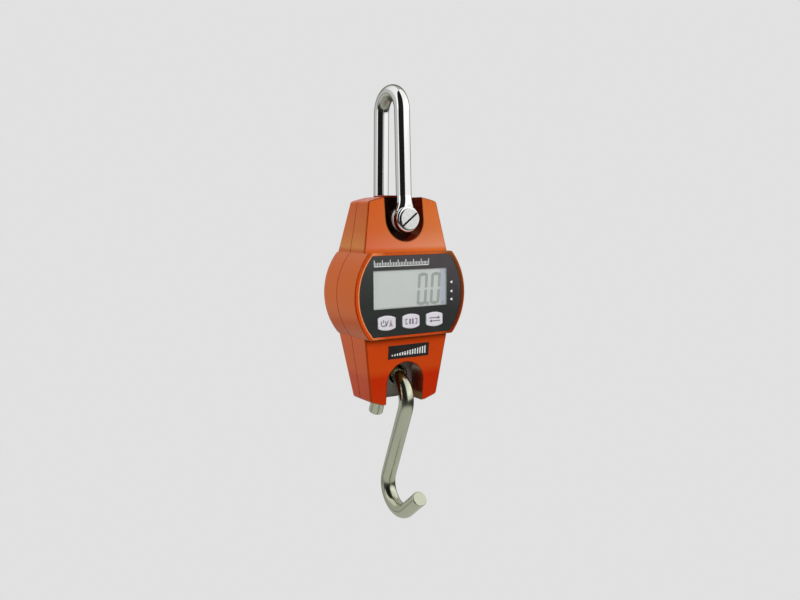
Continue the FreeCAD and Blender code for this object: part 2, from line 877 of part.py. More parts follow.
def battery_spring(index, z):
    # a conical spring, closed here into a stepped cone of the same rings
    way = battery_way(index)
    base = -way * (tray_half_length - contact_thickness)
    pitch = spring_length / spring_turns
    points = [vec(0, 0, 0), vec(0, spring_radius, 0)]
    for turn in range(spring_turns):
        radius = spring_radius * (1 - spring_taper * turn)
        points.append(vec(pitch * (turn + 0.5), radius - spring_groove, 0))
        points.append(vec(pitch * (turn + 1), radius - spring_ridge, 0))
    points.append(vec(spring_length, 0, 0))
    cone = face_of(segments(points)).revolve(vec(0, 0, 0), vec(1, 0, 0), 360)
    if way < 0:
        cone.rotate(vec(0, 0, 0), vec(0, 0, 1), 180)
    cone.translate(vec(base, battery_axis_y(), z))
    return cone


def battery_contact(side):
    x0 = min(side * tray_half_length, side * (tray_half_length - contact_thickness))
    half_z = tray_half_height - cover_corner
    y = battery_axis_y()
    return box(x0, x0 + contact_thickness, y - contact_height / 2, y + contact_height / 2,
               face_z - half_z, face_z + half_z)


def battery_cover():
    width, height = 2 * cover_half_length, 2 * cover_half_height
    plate = rounded_plate(width, height, cover_corner, face_rear - cover_thickness, face_rear, 0, face_z)
    grips = []
    for index in range(cover_grip_count):
        z = face_z + cover_half_height - cover_grip_margin - index * 2 * cover_grip_height
        grips.append(box(-cover_grip_width / 2, cover_grip_width / 2, face_rear - cover_grip_depth, far,
                         z - cover_grip_height / 2, z + cover_grip_height / 2))
    return plate.cut(grips)


# Hook
def hook_centre_z():
    return bore_z - hook_crown_radius


def load_hook():
    tail = math.radians(hook_tail_angle)
    shank = math.radians(hook_shank_angle)
    centre_z = hook_centre_z()
    tail_top_y = hook_crown_radius * math.cos(tail)
    tail_top_z = centre_z + hook_crown_radius * math.sin(tail)
    start_y = tail_top_y + hook_tail_length * math.sin(tail)
    start_z = tail_top_z - hook_tail_length * math.cos(tail)
    heading = math.pi / 2 + tail
    crown_turn = math.pi + shank - tail
    bend_turn = -math.radians(hook_bend_turn)
    steps = [
        ("straight", hook_tail_length, 0),
        ("round", hook_crown_radius, crown_turn),
        ("straight", hook_shank_length, 0),
        ("round", hook_bend_radius, bend_turn),
        ("straight", hook_tip_length, 0),
    ]
    bar = swept_bar(bent_path(start_y, start_z, heading, steps), bar_diameter / 2)
    ends = [face.OuterWire.Edges[0] for face in bar.Faces if isinstance(face.Surface, Part.Plane)]
    return bar.makeFillet(hook_edge, ends)


def bush_mouth(y):
    # the ring's bore at a depth: it follows the hook's round top, so the hook can rock in it
    saddle = hook_crown_radius - bar_diameter / 2
    rise = saddle - math.sqrt(saddle ** 2 - y ** 2)
    room = bush_flare_room * abs(y) / (cell_thickness / 2)
    return bar_diameter / 2 + running_clearance + rise + room


def bush_radius():
    return bush_mouth(cell_thickness / 2) + bush_rim


def hook_bush():
    half = cell_thickness / 2
    points = []
    for index in range(bush_flare_steps + 1):
        y = half * (2 * index / bush_flare_steps - 1)
        points.append(vec(bush_mouth(y), y, 0))
    flare = Part.BSplineCurve()
    flare.interpolate(points)
    edges = [flare.toShape()]
    edges.append(Part.makeLine(points[-1], vec(bush_radius(), half, 0)))
    edges.append(Part.makeLine(vec(bush_radius(), half, 0), vec(bush_radius(), -half, 0)))
    edges.append(Part.makeLine(vec(bush_radius(), -half, 0), points[0]))
    ring = face_of(edges).revolve(vec(0, 0, 0), vec(0, 1, 0), 360)
    ring.translate(vec(0, 0, bore_z))
    return ring


# Every piece by its node's name
def pieces():
    outer, inner = housing_form(0), housing_form(wall)
    front_half = box(-far, far, -far, 0, -far * 2, far)
    rear_half = box(-far, far, 0, far, -far * 2, far)
    made = {
        "shackle": shackle(),
        "shackle_pin": shackle_pin(),
        "pin_nut": pin_nut(),
        "pin_spacer_front": pin_spacer(-1),
        "pin_spacer_rear": pin_spacer(1),
        "front_housing": front_housing(outer, inner, front_half),
        "rear_housing": rear_housing(outer, inner, rear_half),
        "front_panel": front_panel(),
        "display_window": display_window(),
        "lcd_glass": lcd_glass(),
        "lcd_reflector": lcd_reflector(),
        "lcd_connector_upper": lcd_connector(1),
        "lcd_connector_lower": lcd_connector(-1),
        "main_board": main_board(),
        "controller_chip": controller_chip(),
        "cell_plug": cell_plug(),
        "load_cell": load_cell(),
        "strain_gauge_left": strain_gauge(-1),
        "strain_gauge_right": strain_gauge(1),
        "battery_tray": battery_tray(),
        "battery_contact_left": battery_contact(-1),
        "battery_contact_right": battery_contact(1),
        "battery_cover": battery_cover(),
        "hook_bush": hook_bush(),
        "load_hook": load_hook(),
    }
    for name, x in zip(("power_key", "hold_key", "unit_key"), key_places()):
        made[name] = key(x)
        made[name.replace("key", "switch")] = key_switch(x)
    for index, (x, z) in enumerate(joint_screw_places(), 1):
        made["housing_screw_%d" % index] = screw(x, z, joint_screw_seat, joint_screw_head_radius,
                                                 joint_screw_head, joint_screw_radius, joint_screw_length)
    for index, (x, z) in enumerate(board_screw_places(), 1):
        made["board_screw_%d" % index] = screw(x, z, board_rear(), board_screw_head_radius,
                                               board_screw_head, board_screw_radius, board_screw_length)
    for index, (x, z) in enumerate(cell_screw_places(), 1):
        made["cell_screw_%d" % index] = screw(x, z, cell_thickness / 2, cell_screw_head_radius,
                                              cell_screw_head, cell_screw_radius, cell_screw_length)
    for index, z in enumerate(battery_rows()):
        made["battery_cell_%d" % (index + 1)] = battery_cell(index, z)
        made["battery_spring_%d" % (index + 1)] = battery_spring(index, z)
    return made


for name, shape in pieces().items():
    solid = shape.removeSplitter()
    print(name, "solids", len(solid.Solids), "volume", round(solid.Volume, 1), "valid", solid.isValid())
    solid.exportStep("parts/%s.step" % name)
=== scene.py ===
import math

import bmesh
import bpy
from mathutils import Matrix, Vector


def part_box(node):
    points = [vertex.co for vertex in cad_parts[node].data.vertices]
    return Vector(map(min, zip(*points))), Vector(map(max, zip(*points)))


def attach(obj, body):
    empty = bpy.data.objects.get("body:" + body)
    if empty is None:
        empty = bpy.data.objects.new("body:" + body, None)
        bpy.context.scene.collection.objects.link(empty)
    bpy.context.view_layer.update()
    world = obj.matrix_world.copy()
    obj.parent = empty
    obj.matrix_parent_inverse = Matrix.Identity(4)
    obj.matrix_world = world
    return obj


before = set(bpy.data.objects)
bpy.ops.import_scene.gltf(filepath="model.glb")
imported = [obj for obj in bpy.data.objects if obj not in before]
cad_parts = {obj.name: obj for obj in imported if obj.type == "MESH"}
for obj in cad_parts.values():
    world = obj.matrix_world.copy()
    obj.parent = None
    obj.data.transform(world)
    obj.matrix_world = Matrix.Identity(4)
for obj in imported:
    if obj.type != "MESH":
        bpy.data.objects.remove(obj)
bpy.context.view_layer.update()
print("frame loaded:", len(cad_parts), "nodes")

# places that follow from the CAD nodes, in metres
panelLow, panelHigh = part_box("front_panel")
windowLow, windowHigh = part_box("display_window")
glassLow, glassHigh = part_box("lcd_glass")
pinLow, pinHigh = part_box("shackle_pin")
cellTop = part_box("load_cell")[1].z
faceZ = (panelLow.z + panelHigh.z) / 2
pinZ = (pinLow.z + pinHigh.z) / 2
mm = 0.001
far = 100 * mm                        # outside every piece


# Node helpers
def newMaterial(name, colour, roughness, metallic=0.0):
    material = bpy.data.materials.new(name)
    material.use_nodes = True
    shader = material.node_tree.nodes["Principled BSDF"]
    shader.inputs["Base Color"].default_value = (*colour, 1.0)
    shader.inputs["Roughness"].default_value = roughness
    shader.inputs["Metallic"].default_value = metallic
    return material, material.node_tree, shader


def addNode(tree, kind, **settings):
    node = tree.nodes.new(kind)
    for key, value in settings.items():
        setattr(node, key, value)
    return node


def feed(tree, target, value):
    # value is a socket or a plain value
    if isinstance(value, bpy.types.NodeSocket):
        tree.links.new(value, target)
    else:
        target.default_value = value


def addRamp(tree, value, stops):
    # stops are (place, colour) from low to high
    ramp = addNode(tree, "ShaderNodeValToRGB")
    while len(ramp.color_ramp.elements) < len(stops):
        ramp.color_ramp.elements.new(0.5)
    for element, (place, colour) in zip(ramp.color_ramp.elements, stops):
        element.position = place
        element.color = (*colour, 1.0)
    feed(tree, ramp.inputs["Fac"], value)
    return ramp.outputs["Color"]


def addRange(tree, value, low, high, toLow, toHigh, blend="LINEAR"):
    remap = addNode(tree, "ShaderNodeMapRange", interpolation_type=blend)
    for socket, number in zip(("From Min", "From Max", "To Min", "To Max"), (low, high, toLow, toHigh)):
        remap.inputs[socket].default_value = number
    feed(tree, remap.inputs["Value"], value)
    return remap.outputs["Result"]


def addMath(tree, operation, first, second=0.0):
    node = addNode(tree, "ShaderNodeMath", operation=operation)
    feed(tree, node.inputs[0], first)
    feed(tree, node.inputs[1], second)
    return node.outputs["Value"]


def addVectorMath(tree, operation, first, second=(0, 0, 0)):
    node = addNode(tree, "ShaderNodeVectorMath", operation=operation)
    feed(tree, node.inputs[0], first)
    feed(tree, node.inputs[1], second)
    return node.outputs


def addMix(tree, blend, factor, first, second):
    mix = addNode(tree, "ShaderNodeMix", data_type="RGBA", blend_type=blend)
    for socket, value in (("Factor", factor), ("A", first), ("B", second)):
        feed(tree, mix.inputs[socket], value)
    return mix.outputs["Result"]


def addParts(tree, vector):
    split = addNode(tree, "ShaderNodeSeparateXYZ")
    feed(tree, split.inputs["Vector"], vector)
    return split.outputs["X"], split.outputs["Y"], split.outputs["Z"]


def addReach(tree, x, z):
    # how far a place is from the line on which x and z are 0
    spot = addNode(tree, "ShaderNodeCombineXYZ")
    feed(tree, spot.inputs["X"], x)
    feed(tree, spot.inputs["Z"], z)
    return addVectorMath(tree, "LENGTH", spot.outputs["Vector"])["Value"]


def addNoise(tree, place, scale, detail=4.0):
    noise = addNode(tree, "ShaderNodeTexNoise")
    noise.inputs["Scale"].default_value = scale
    noise.inputs["Detail"].default_value = detail
    feed(tree, noise.inputs["Vector"], place)
    return noise.outputs["Fac"]


def objectPlace(tree, stretch=(1, 1, 1)):
    mapping = addNode(tree, "ShaderNodeMapping")
    mapping.inputs["Scale"].default_value = stretch
    feed(tree, mapping.inputs["Vector"], addNode(tree, "ShaderNodeTexCoord").outputs["Object"])
    return mapping.outputs["Vector"]


def normalParts(tree):
    return addParts(tree, addNode(tree, "ShaderNodeTexCoord").outputs["Normal"])


# Materials
white = (1.0, 1.0, 1.0)
noiseLow, noiseHigh = 0.3, 0.7        # nearly all of a noise lies between these


def addDrift(tree, place, tone, look):
    # the tone, times a share that drifts between low and white
    scale, low = look["drift"]
    share = addRamp(tree, addNoise(tree, place, scale), [(noiseLow, low), (noiseHigh, white)])
    return addMix(tree, "MULTIPLY", 1.0, tone, share)


def addGrain(tree, shader, place, look):
    # a fine grain in the gloss and, where the look has a bump, in the surface
    scale, detail = look["grain"]
    fine = addNoise(tree, place, scale, detail)
    smooth, rough = (look["roughness"] + change for change in look["gloss"])
    feed(tree, shader.inputs["Roughness"], addRange(tree, fine, noiseLow, noiseHigh, smooth, rough))
    if "bump" in look:
        bump = addNode(tree, "ShaderNodeBump")
        bump.inputs["Strength"].default_value, bump.inputs["Distance"].default_value = look["bump"]
        feed(tree, bump.inputs["Height"], fine)
        feed(tree, shader.inputs["Normal"], bump.outputs["Normal"])


finishLook = {
    "coarser": 12,                    # the colour's drift against the grain
    "detail": 6.0,
    "depth": 0.02 * mm,
}


def finish(name, colour, roughness, metallic=0.0, spread=0.08, grain=900, stretch=(1, 1, 1),
           gloss=0.06, bump=0.3):
    # a finish with colour that drifts, a worn gloss and a fine grain
    look = finishLook
    material, tree, shader = newMaterial(name, colour, roughness, metallic)
    place = objectPlace(tree, stretch)
    low, high = (tuple(c * (1 + change) for c in colour) for change in (-spread, spread))
    drift = addNoise(tree, place, grain / look["coarser"])
    feed(tree, shader.inputs["Base Color"], addRamp(tree, drift, [(noiseLow, low), (noiseHigh, high)]))
    addGrain(tree, shader, place, {"roughness": roughness, "grain": (grain, look["detail"]),
                                   "gloss": (-gloss, gloss), "bump": (bump, look["depth"])})
    return material


shellLook = {
    "colour": (0.60, 0.050, 0.005),
    "roughness": 0.25,
    "density": 1.85,                  # the plastic's index, for a strong gloss
    "sheenTint": (1.0, 0.90, 0.10),
    "coat": 0.04,
    "coatRoughness": 0.12,
    "drift": (25, (0.97, 0.97, 0.97)),
    "grain": (4000, 2.0), "gloss": (-0.02, 0.03), "bump": (0.02, 0.001 * mm),
    "heightLightAndShade": (                        # painted light and shade by height, from the foot of the housing to its top
        (0.13, (0.54, 0.014, 0.001)), (0.17, (0.61, 0.054, 0.006)), (0.50, (0.60, 0.050, 0.005)),
        (0.762, (0.45, 0.034, 0.003)), (0.778, (0.54, 0.100, 0.038)), (0.86, (0.50, 0.055, 0.012)),
        (1.00, (0.47, 0.030, 0.004)),
    ),
    "foot": -60 * mm, "top": 50 * mm,       # ends of that height, from the face's centre
    "facing": (-0.5, -0.9),                 # normal of a surface that begins to face a way, and that does
    "left": (0.95, 0.50, 1.20),             # share of the colour at the left end of the upper front: a painted sheen that grows toward the right end
    "right": (1.14, 1.75, 3.20),
    "leftEnd": -30 * mm, "rightEnd": 20 * mm,
    "upperFull": 20 * mm,                   # where that share is full, above the face's centre
    "leftSideSheen": ((0.28, (1.06, 0.95, 0.30)), (0.48, (1.12, 1.75, 1.00))),  # painted warm sheen on the left side, by height
    "edgeShadeTone": (0.52, 0.24, 0.30, 1.0),  # painted shade along the front edges
    "sideCrease": -0.06, "topCrease": -0.25,  # product of two parts of the normal where that starts
    "creaseSpan": -0.2,
    "rimShadeTone": (0.17, 0.02, 0.30, 1.0),     # painted shade on the right rim, beside the panel
    "rimNear": 1.3 * mm, "rimFar": 2.6 * mm,  # where that ends, from the panel
    "rimFrom": 16 * mm, "rimTo": 27 * mm,   # and where it starts, from the middle
    "highlightLineColour": (0.78, 0.24, 0.10, 1.0),  # a painted highlight: the fine light line round the panel's left end
    "lineWidth": 0.75 * mm,
    "notches": (                            # middle of the round end, half width, way that the end points
        (pinZ, 12.0 * mm, -1), (faceZ - 49.2 * mm, 11.7 * mm, 1),
    ),
    "notchShadeTone": (0.34, 0.13, 0.14),        # painted shade: share of the colour on their walls
    "notchNear": 0.15 * mm, "notchFar": 0.6 * mm,
    "behindWindow": (0.42, 0.45, 0.43, 1.0),
}


def notchReach(tree, x, z, notch, look):
    # 0 on the walls of a notch, 1 just outside them: where the painted shade lies
    centre, half, way = notch
    beyond = addMath(tree, "MULTIPLY", addMath(tree, "SUBTRACT", z, centre), way)
    reach = addReach(tree, x, addMath(tree, "MAXIMUM", beyond))
    return addRange(tree, reach, half + look["notchNear"], half + look["notchFar"], 0.0, 1.0)


def rimShade(tree, x, y, z, look):
    # the painted shade on the right rim, and the painted highlight line on the left one
    reach = addReach(tree, x, addMath(tree, "SUBTRACT", z, faceZ))
    front = addMath(tree, "LESS_THAN", y, panelHigh.y)
    dark = addRange(tree, reach, panelHigh.x + look["rimNear"], panelHigh.x + look["rimFar"], 1.0, 0.0)
    line = addMath(tree, "LESS_THAN", reach, panelHigh.x + look["lineWidth"])
    shares = []
    for share, side in ((dark, 1), (line, -1)):
        share = addMath(tree, "MULTIPLY", share, front)
        beside = addRange(tree, x, side * look["rimFrom"], side * look["rimTo"], 0.0, 1.0)
        shares.append(addMath(tree, "MULTIPLY", share, beside))
    return shares


def behindWindow(tree, x, y, z):
    # 1 on what shows through the window
    inside = addMath(tree, "LESS_THAN", y, glassHigh.y)
    for value, low, high in ((x, windowLow.x, windowHigh.x), (z, windowLow.z, windowHigh.z)):
        off = addMath(tree, "ABSOLUTE", addMath(tree, "SUBTRACT", value, (low + high) / 2))
        inside = addMath(tree, "MULTIPLY", inside, addMath(tree, "LESS_THAN", off, (high - low) / 2))
    return inside


def shellPaint(tree, place, look):
    # the orange, with the light and shade of the room that the photograph shows on it
    x, y, z = addParts(tree, place)
    sideways, deep, up = normalParts(tree)
    height = addRange(tree, z, faceZ + look["foot"], faceZ + look["top"], 0.0, 1.0)
    # painted light and shade by height
    tone = addRamp(tree, height, look["heightLightAndShade"])
    # painted sheen on the upper front, stronger toward the right
    across = addRange(tree, x, look["leftEnd"], look["rightEnd"], 0.0, 1.0)
    across = addRamp(tree, across, [(0.0, look["left"]), (1.0, look["right"])])
    upper = addRange(tree, z, faceZ, faceZ + look["upperFull"], 0.0, 1.0)
    front = addMath(tree, "MULTIPLY", addRange(tree, deep, *look["facing"], 0.0, 1.0), upper)
    tone = addMix(tree, "MULTIPLY", front, tone, across)
    # painted warm sheen on the left side
    side = addRange(tree, sideways, *look["facing"], 0.0, 1.0)
    tone = addMix(tree, "MULTIPLY", side, tone, addRamp(tree, height, look["leftSideSheen"]))
    # painted shade on the right rim
    dark, line = rimShade(tree, x, y, z, look)
    tone = addMix(tree, "MULTIPLY", dark, tone, look["rimShadeTone"])
    # painted shade along the front edges, on their rounded parts
    for tilt, start in ((addMath(tree, "ABSOLUTE", sideways), look["sideCrease"]), (up, look["topCrease"])):
        crease = addMath(tree, "MULTIPLY", tilt, deep)
        crease = addRange(tree, crease, start, start + look["creaseSpan"], 0.0, 1.0)
        tone = addMix(tree, "MULTIPLY", crease, tone, look["edgeShadeTone"])
    tone = addDrift(tree, place, tone, look)
    # painted highlight line round the panel's left end
    tone = addMix(tree, "MIX", line, tone, look["highlightLineColour"])
    # painted shade on the walls of the notches
    for notch in look["notches"]:
        shade = addRamp(tree, notchReach(tree, x, z, notch, look), [(0.0, look["notchShadeTone"]), (1.0, white)])
        tone = addMix(tree, "MULTIPLY", 1.0, tone, shade)
    return addMix(tree, "MIX", behindWindow(tree, x, y, z), tone, look["behindWindow"])


def orangeShell():
    look = shellLook
    material, tree, shader = newMaterial("orange_shell", look["colour"], look["roughness"])
    shader.inputs["IOR"].default_value = look["density"]
    shader.inputs["Specular Tint"].default_value = (*look["sheenTint"], 1.0)
    shader.inputs["Coat Weight"].default_value = look["coat"]
    shader.inputs["Coat Roughness"].default_value = look["coatRoughness"]
    place = objectPlace(tree)
    feed(tree, shader.inputs["Base Color"], shellPaint(tree, place, look))
    addGrain(tree, shader, place, look)
    return material


chromeLook = {
    "colour": (0.97, 0.97, 0.95),
    "dimmed": 0.97,                     # share of the colour where it drifts
    "driftScale": 60,
    "edge": (0.45, 0.45, 0.43),       # share of the colour where the surface turns away, a painted shade; also the metal's tint at grazing angles
    "edgeFrom": 0.54, "edgeTo": 0.70,
    "roughness": 0.06,
    "grain": 900, "gloss": 0.02,
    "worn": 0.48,                     # roughness inside the crown, where it hangs
    # painted reflection: dark and light bands on the crown's underside
    "crownReflectionTones": ((0.0, white), (0.22, (0.40, 0.40, 0.36)), (0.40, (0.92, 0.92, 0.84)),
                  (1.0, (0.62, 0.63, 0.54))),
    "crownFrom": -18 * mm, "crownTo": -12 * mm,
    "inwardFrom": -0.06, "inwardTo": -0.6,  # normal of a surface that starts to look down, and that does
    "wornStart": 0.3, "wornFull": 0.8,
    "eyeSide": 6.0 * mm, "eyeTop": 5.0 * mm,  # the eye's side: outside the one, and lower than the other
    "highlightFrom": 13.2 * mm, "highlightTo": 12.8 * mm,  # its inner half gets a painted highlight, by less metal and more roughness, from the middle of the bar
    "highlightMetal": 0.15, "highlightRough": 0.40,
}


def eyeHighlightMask(tree, x, y, z, look):
    # 1 on the inner half of the eyes' sides, where the painted highlight goes
    side = addReach(tree, x, addMath(tree, "SUBTRACT", z, pinZ))
    side = addMath(tree, "GREATER_THAN", side, look["eyeSide"])
    side = addMath(tree, "MULTIPLY", side, addMath(tree, "LESS_THAN", z, pinZ + look["eyeTop"]))
    inner = addRange(tree, addMath(tree, "ABSOLUTE", y), look["highlightFrom"], look["highlightTo"], 0.0, 1.0)
    return addMath(tree, "MULTIPLY", side, inner)


def shackleChrome():
    look = chromeLook
    material, tree, shader = newMaterial("chrome", look["colour"], look["roughness"], 1.0)
    shader.inputs["Specular Tint"].default_value = (*look["edge"], 1.0)
    place = objectPlace(tree)
    x, y, z = addParts(tree, place)
    crown = addRange(tree, z, look["crownFrom"], look["crownTo"], 0.0, 1.0)
    inward = addRange(tree, normalParts(tree)[2], look["inwardFrom"], look["inwardTo"], 0.0, 1.0)
    inward = addMath(tree, "MULTIPLY", inward, crown)
    low = tuple(c * look["dimmed"] for c in look["colour"])
    drift = addNoise(tree, place, look["driftScale"])
    tone = addRamp(tree, drift, [(noiseLow, low), (noiseHigh, look["colour"])])
    # painted reflection bands on the crown's underside
    tone = addMix(tree, "MULTIPLY", 1.0, tone, addRamp(tree, inward, look["crownReflectionTones"]))
    # painted shade where the surface turns away
    away = addNode(tree, "ShaderNodeLayerWeight").outputs["Facing"]
    away = addRange(tree, away, look["edgeFrom"], look["edgeTo"], 0.0, 1.0)
    tone = addMix(tree, "MULTIPLY", away, tone, (*look["edge"], 1.0))
    feed(tree, shader.inputs["Base Color"], tone)
    # painted highlight on the eyes' inner rims: less metal, rougher
    rimHighlight = eyeHighlightMask(tree, x, y, z, look)
    feed(tree, shader.inputs["Metallic"], addRange(tree, rimHighlight, 0.0, 1.0, 1.0, look["highlightMetal"]))
    rough = addRange(tree, inward, look["wornStart"], look["wornFull"], look["roughness"], look["worn"])
    rough = addMath(tree, "MAXIMUM", rough, addRange(tree, rimHighlight, 0.0, 1.0, 0.0, look["highlightRough"]))
    fine = addNoise(tree, place, look["grain"])
    fine = addRange(tree, fine, noiseLow, noiseHigh, -look["gloss"], look["gloss"])
    feed(tree, shader.inputs["Roughness"], addMath(tree, "ADD", rough, fine))
    return material


pinLook = {
    "bare": (0.94, 0.95, 0.93),
    "dimmed": (0.030, 0.028, 0.026),    # painted shade in the slot and round the head
    "stops": ((0.04, "bare"), (0.06, "dimmed"), (0.9, "dimmed"), (1.0, "bare")),
    "end": 5 * mm,                    # of those stops, behind the head's front
    "roughness": 0.24,
    "drift": (500, (0.92, 0.92, 0.92)),
    "grain": (1500, 6.0), "gloss": (-0.06, 0.08), "bump": (0.08, 0.005 * mm),
}


def pinSteel():
    look = pinLook
    material, tree, shader = newMaterial("pin_steel", look["bare"], look["roughness"], 1.0)
    place = objectPlace(tree)
    y = addParts(tree, place)[1]
    # painted shade in the slot and round the head
    depth = addRange(tree, y, pinLow.y, pinLow.y + look["end"], 0.0, 1.0)
    tone = addRamp(tree, depth, [(stop, look[kind]) for stop, kind in look["stops"]])
    feed(tree, shader.inputs["Base Color"], addDrift(tree, place, tone, look))
    addGrain(tree, shader, place, look)
    return material


cellLook = {
    "bare": (0.34, 0.31, 0.31),
    "shadedUpper": (0.028, 0.007, 0.005),  # painted shade, dark from its waist up to the pin
    "crest": (0.42, 0.040, 0.010),    # its top takes the housing's colour
    "from": 4 * mm, "to": 10 * mm,    # above the face's centre
    "crestDrop": 0.6 * mm,
    "metal": 0.9,
    "roughness": 0.38,
    "stretch": (1, 1, 6),
    "drift": (120, (0.8, 0.8, 0.8)),
    "grain": (900, 6.0), "gloss": (-0.06, 0.1), "bump": (0.25, 0.01 * mm),
}


def cellMetal():
    # milled metal with marks that run across, with painted shade from its waist up
    look = cellLook
    material, tree, shader = newMaterial("cell_metal", look["bare"], look["roughness"], look["metal"])
    z = addParts(tree, objectPlace(tree))[2]
    # painted shade from the waist up
    height = addRange(tree, z, faceZ + look["from"], faceZ + look["to"], 0.0, 1.0)
    tone = addRamp(tree, height, [(0.0, look["bare"]), (1.0, look["shadedUpper"])])
    drop = look["crestDrop"]
    crest = addRange(tree, z, cellTop - 2 * drop, cellTop - drop, 0.0, 1.0)
    tone = addMix(tree, "MIX", crest, tone, (*look["crest"], 1.0))
    place = objectPlace(tree, look["stretch"])
    feed(tree, shader.inputs["Base Color"], addDrift(tree, place, tone, look))
    addGrain(tree, shader, place, look)
    return material


displayLook = {
    "rim": (0.70, 0.73, 0.72),
    "middle": (0.49, 0.515, 0.49),
    "side": (0.33, 0.355, 0.43),      # bluish strip at the right
    "stops": ((0.0, "rim"), (0.02, "middle"), (0.90, "middle"), (0.935, "side")),  # from left to right
    "roughness": 0.35,
    "drift": (90, (0.96, 0.96, 0.97)),
    "grain": (2500, 2.0), "gloss": (-0.05, 0.07),
}


def displayGlass():
    look = displayLook
    material, tree, shader = newMaterial("display_glass", look["middle"], look["roughness"])
    place = objectPlace(tree)
    x = addParts(tree, place)[0]
    across = addRange(tree, x, glassLow.x, glassHigh.x, 0.0, 1.0)
    tone = addRamp(tree, across, [(stop, look[kind]) for stop, kind in look["stops"]])
    feed(tree, shader.inputs["Base Color"], addDrift(tree, place, tone, look))
    addGrain(tree, shader, place, look)
    return material


panelLook = {
    "low": (0.026, 0.029, 0.027),
    "high": (0.050, 0.042, 0.046),    # painted light, paler toward the top right
    "slope": 0.5, "start": 0.2,
    "roughness": 0.16,
    "drift": (140, (0.85, 0.85, 0.85)),
    "grain": (1600, 4.0), "gloss": (-0.04, 0.04), "bump": (0.3, 0.003 * mm),
}


def panelPlastic():
    look = panelLook
    material, tree, shader = newMaterial("panel_plastic", look["low"], look["roughness"])
    place = objectPlace(tree)
    x, z = addParts(tree, place)[::2]
    # painted light, paler toward the top right
    rise = addMath(tree, "ADD", z, addMath(tree, "MULTIPLY", x, look["slope"]))
    rise = addRange(tree, rise, faceZ, panelHigh.z, 0.0, 1.0)
    tone = addRamp(tree, rise, [(look["start"], look["low"]), (1.0, look["high"])])
    feed(tree, shader.inputs["Base Color"], addDrift(tree, place, tone, look))
    addGrain(tree, shader, place, look)
    return material


windowLook = {
    "colour": (0.85, 0.88, 0.87),
    "alpha": 0.10,
    "roughness": 0.06,
    "grain": (300, 4.0), "gloss": (-0.03, 0.04),
}


def clearWindow():
    look = windowLook
    material, tree, shader = newMaterial("clear_window", look["colour"], look["roughness"])
    shader.inputs["Alpha"].default_value = look["alpha"]
    addGrain(tree, shader, objectPlace(tree), look)
    return material


print("materials")
looks = {
    "chrome": shackleChrome(),
    "pinSteel": pinSteel(),
    "zincSteel": finish("zinc_steel", (0.70, 0.70, 0.68), 0.25, 1.0, spread=0.05, grain=1500, bump=0.1),
    "hookSteel": finish("hook_steel", (0.60, 0.62, 0.47), 0.20, 1.0, spread=0.06, grain=500,
                        stretch=(1, 1, 0.25), gloss=0.05, bump=0.2),
    "bushSteel": finish("bush_steel", (0.50, 0.50, 0.48), 0.25, 1.0, grain=1200),
    "cellMetal": cellMetal(),
    "shell": orangeShell(),
    "panel": panelPlastic(),
    "window": clearWindow(),
    "glass": displayGlass(),
    "white": finish("white_plastic", (0.75, 0.76, 0.74), 0.5, grain=700),
    "key": finish("white_key", (0.68, 0.65, 0.70), 0.42, spread=0.03, grain=1500),
    "rubber": finish("grey_rubber", (0.20, 0.20, 0.20), 0.8, grain=1800, spread=0.15),
    "board": finish("green_board", (0.02, 0.13, 0.05), 0.45, grain=500, spread=0.2),
    "black": finish("black_plastic", (0.02, 0.02, 0.02), 0.45, grain=1500, spread=0.2),
    "gauge": finish("gauge_film", (0.55, 0.28, 0.06), 0.4, grain=1500),
    "nickel": finish("nickel_plate", (0.72, 0.70, 0.66), 0.28, 1.0, grain=900),
    "jacket": finish("cell_jacket", (0.05, 0.10, 0.30), 0.35, grain=600),
    "mark": finish("white_print", (0.80, 0.82, 0.80), 0.5, grain=2500, spread=0.04),
    "legend": finish("grey_print", (0.11, 0.10, 0.12), 0.5, grain=2500, spread=0.08),
    "digit": finish("digit_ink", (0.20, 0.23, 0.21), 0.5, grain=2500, spread=0.06),
    "label": finish("label_foil", (0.016, 0.013, 0.012), 0.30, grain=1800, spread=0.25),
}

nodeLooks = {
    "shackle": "chrome",
    "shackle_pin": "pinSteel", "pin_nut": "zincSteel", "pin_spacer": "zincSteel",
    "front_housing": "shell", "rear_housing": "shell", "battery_cover": "shell",
    "front_panel": "panel", "display_window": "window", "lcd_glass": "glass", "lcd_reflector": "white",
    "lcd_connector": "rubber", "main_board": "board", "controller_chip": "black", "cell_plug": "white",
    "power_switch": "black", "hold_switch": "black", "unit_switch": "black",
    "load_cell": "cellMetal", "strain_gauge": "gauge",
    "cell_screw": "nickel", "board_screw": "nickel", "housing_screw": "nickel",
    "battery_tray": "black", "battery_contact": "nickel", "battery_spring": "nickel",
    "battery_cell": "jacket",
    "power_key": "key", "hold_key": "key", "unit_key": "key",
    "hook_bush": "bushSteel", "load_hook": "hookSteel",
}


def dressNodes():
    # each node takes the look of the longest name that its own starts with
    for name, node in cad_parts.items():
        look = max((start for start in nodeLooks if name.startswith(start)), key=len)
        node.data.materials.clear()
        node.data.materials.append(looks[nodeLooks[look]])


dressNodes()
print("CAD nodes dressed")


# New pieces
def toPiece(bm, name, look, body):
    bmesh.ops.recalc_face_normals(bm, faces=bm.faces)
    mesh = bpy.data.meshes.new(name)
    bm.to_mesh(mesh)
    bm.free()
    piece = bpy.data.objects.new(name, mesh)
    bpy.context.scene.collection.objects.link(piece)
    mesh.materials.append(looks[look])
    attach(piece, body)
    return piece


